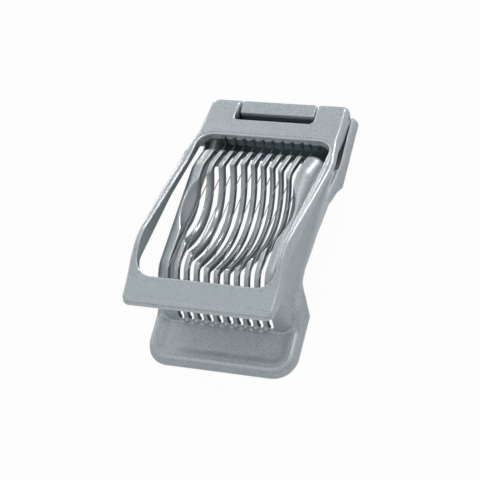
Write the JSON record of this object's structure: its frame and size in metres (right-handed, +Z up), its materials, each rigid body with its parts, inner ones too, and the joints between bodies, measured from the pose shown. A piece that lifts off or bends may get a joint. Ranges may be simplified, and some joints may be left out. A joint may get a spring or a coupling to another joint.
{
  "type": "egg slicer",
  "caption": "Egg slicer: a cast base with a slotted egg hollow and thumb tongue, and a hinged cast frame strung with fine parallel steel wires.",
  "frame": {"origin": "middle of the overall box, on the table the base stands on", "axes": "+Y towards the hinge, -Y towards the thumb tongue, +Z up, +X to the right seen from the tongue"},
  "size_m": [0.0852, 0.152, 0.0513],
  "materials": {
    "base_lacquer": "satin silver lacquer",
    "frame_lacquer": "satin silver lacquer",
    "pin_steel": "ground",
    "wire_steel": "drawn",
    "crimp_steel": "satin"
  },
  "bodies": {
    "base": {"base_casting": "base_lacquer", "hinge_pin": "pin_steel"},
    "frame": {"cutting_frame": "frame_lacquer", "wire_01": "wire_steel", "wire_02": "wire_steel", "wire_03": "wire_steel", "wire_04": "wire_steel", "wire_05": "wire_steel", "wire_06": "wire_steel", "wire_07": "wire_steel", "wire_08": "wire_steel", "wire_09": "wire_steel", "wire_10": "wire_steel", "front_crimp_01": "crimp_steel", "front_crimp_02": "crimp_steel", "front_crimp_03": "crimp_steel", "front_crimp_04": "crimp_steel", "front_crimp_05": "crimp_steel", "front_crimp_06": "crimp_steel", "front_crimp_07": "crimp_steel", "front_crimp_08": "crimp_steel", "front_crimp_09": "crimp_steel", "front_crimp_10": "crimp_steel", "rear_crimp_01": "crimp_steel", "rear_crimp_02": "crimp_steel", "rear_crimp_03": "crimp_steel", "rear_crimp_04": "crimp_steel", "rear_crimp_05": "crimp_steel", "rear_crimp_06": "crimp_steel", "rear_crimp_07": "crimp_steel", "rear_crimp_08": "crimp_steel", "rear_crimp_09": "crimp_steel", "rear_crimp_10": "crimp_steel"}
  },
  "joints": [
    {"name": "frame_hinge", "type": "hinge", "parent": "base", "child": "frame", "pos_m": [0, 0.07, 0.0098], "axis": [-1, 0, 0], "range_deg": [-15.8, 80]}
  ]
}
